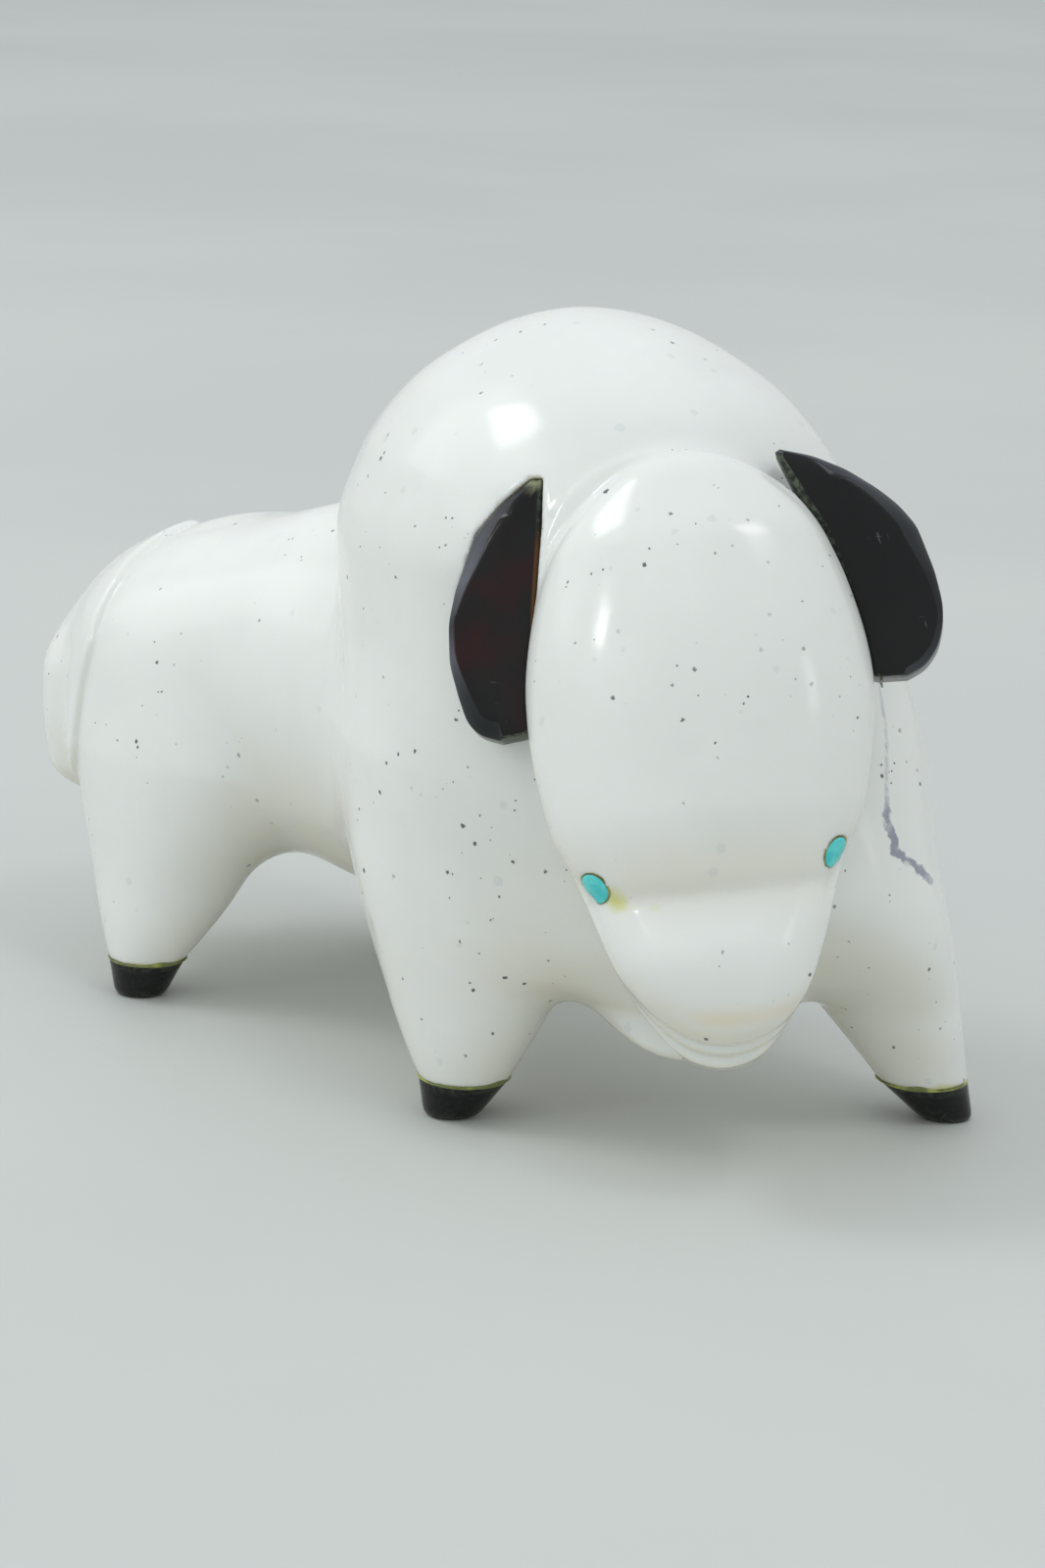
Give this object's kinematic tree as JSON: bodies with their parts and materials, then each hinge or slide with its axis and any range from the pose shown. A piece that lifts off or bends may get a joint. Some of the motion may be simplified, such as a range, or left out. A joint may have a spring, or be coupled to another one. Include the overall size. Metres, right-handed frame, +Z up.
{
  "type": "carved_stone_bison_figure",
  "caption": "Carved and polished white stone bison figure with turned head, set-on black horns, dark stone hooves and inlaid turquoise eyes",
  "frame": {"origin": "the point on the standing surface under the middle of the figure's outline", "axes": "+Z up; the animal faces -Y; its left side is +X"},
  "size_m": [0.0465, 0.1061, 0.07],
  "materials": {
    "white_stone": "polished opaque stone",
    "jet": "polished jet",
    "turquoise": "polished turquoise",
    "adhesive": "cured adhesive"
  },
  "bodies": {
    "root": {"stone_body": "white_stone", "horn_left": "jet", "horn_right": "jet", "hoof_front_left": "jet", "hoof_front_right": "jet", "hoof_rear_left": "jet", "hoof_rear_right": "jet", "eye_left": "turquoise", "eye_right": "turquoise", "hoof_glue_front_left": "adhesive", "hoof_glue_front_right": "adhesive", "hoof_glue_rear_left": "adhesive", "hoof_glue_rear_right": "adhesive", "horn_glue_left": "adhesive", "horn_glue_right": "adhesive", "eye_glue_left": "adhesive", "eye_glue_right": "adhesive"}
  },
  "joints": []
}
